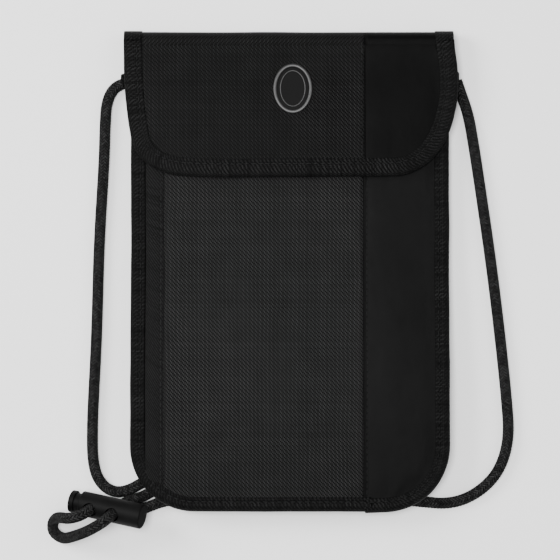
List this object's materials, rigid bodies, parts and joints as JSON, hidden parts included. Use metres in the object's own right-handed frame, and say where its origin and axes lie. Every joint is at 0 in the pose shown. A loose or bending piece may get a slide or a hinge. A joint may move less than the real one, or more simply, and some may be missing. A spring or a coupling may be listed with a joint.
{
  "type": "neck pouch wallet",
  "caption": "Flat cloth neck pouch with a fold-over flap, side slip pocket, taped edges and a round braided neck cord gathered in a spring cord lock.",
  "frame": {"origin": "centre of the pouch's outline, on the surface that its back lies on (cord and cord lock not counted)", "axes": "+Y up the pouch towards the flap's fold, +Z out of its front, +X to the right seen from the front"},
  "size_m": [0.2069, 0.2269, 0.0256],
  "materials": {
    "twill_cloth": "fine woven twill, near black",
    "smooth_cloth": "smooth coated plain weave, near black",
    "lining_cloth": "thin plain lining, dark grey",
    "binding_tape": "herringbone woven tape, near black",
    "touch_fastener": "hook and loop pile, black",
    "braided_cord": "round diamond braid, near black",
    "lock_plastic": "satin moulded plastic, black",
    "spring_steel": "drawn spring wire",
    "badge_metal": "dull grey metal"
  },
  "bodies": {
    "pouch": {"back_panel": "twill_cloth", "back_lining": "lining_cloth", "front_lining": "lining_cloth", "front_wall": "smooth_cloth", "front_twill_panel": "twill_cloth", "front_smooth_panel": "smooth_cloth", "slip_pocket_binding": "binding_tape", "mouth_binding": "binding_tape", "body_binding": "binding_tape", "binding_overlap": "binding_tape", "top_fold": "twill_cloth", "loop_patch": "touch_fastener", "cord_anchor_left": "binding_tape", "cord_anchor_right": "binding_tape", "neck_cord": "braided_cord"},
    "flap": {"flap_twill_panel": "twill_cloth", "flap_smooth_panel": "smooth_cloth", "flap_lining": "lining_cloth", "flap_binding": "binding_tape", "flap_hook_patch": "touch_fastener", "flap_emblem": "badge_metal", "emblem_backing": "badge_metal"},
    "cord_lock": {"lock_barrel": "lock_plastic", "lock_spring": "spring_steel"},
    "plunger": {"lock_plunger": "lock_plastic"}
  },
  "joints": [
    {"name": "flap_hinge", "type": "hinge", "parent": "pouch", "child": "flap", "pos_m": [0, 0.1055, 0.00575], "axis": [-1, 0, 0], "range_deg": [0, 175]},
    {"name": "lock_slide", "type": "slide", "parent": "pouch", "child": "cord_lock", "axis": [-0.3223, -0.319, 0.8913], "range_m": [0, 0.002]},
    {"name": "plunger_press", "type": "slide", "parent": "cord_lock", "child": "plunger", "axis": [0.9436, -0.1834, 0.2756], "range_m": [0, 0.0025], "stiffness_N_per_m": 300, "springref_m": -0.006, "deforming": ["lock_spring"]}
  ]
}
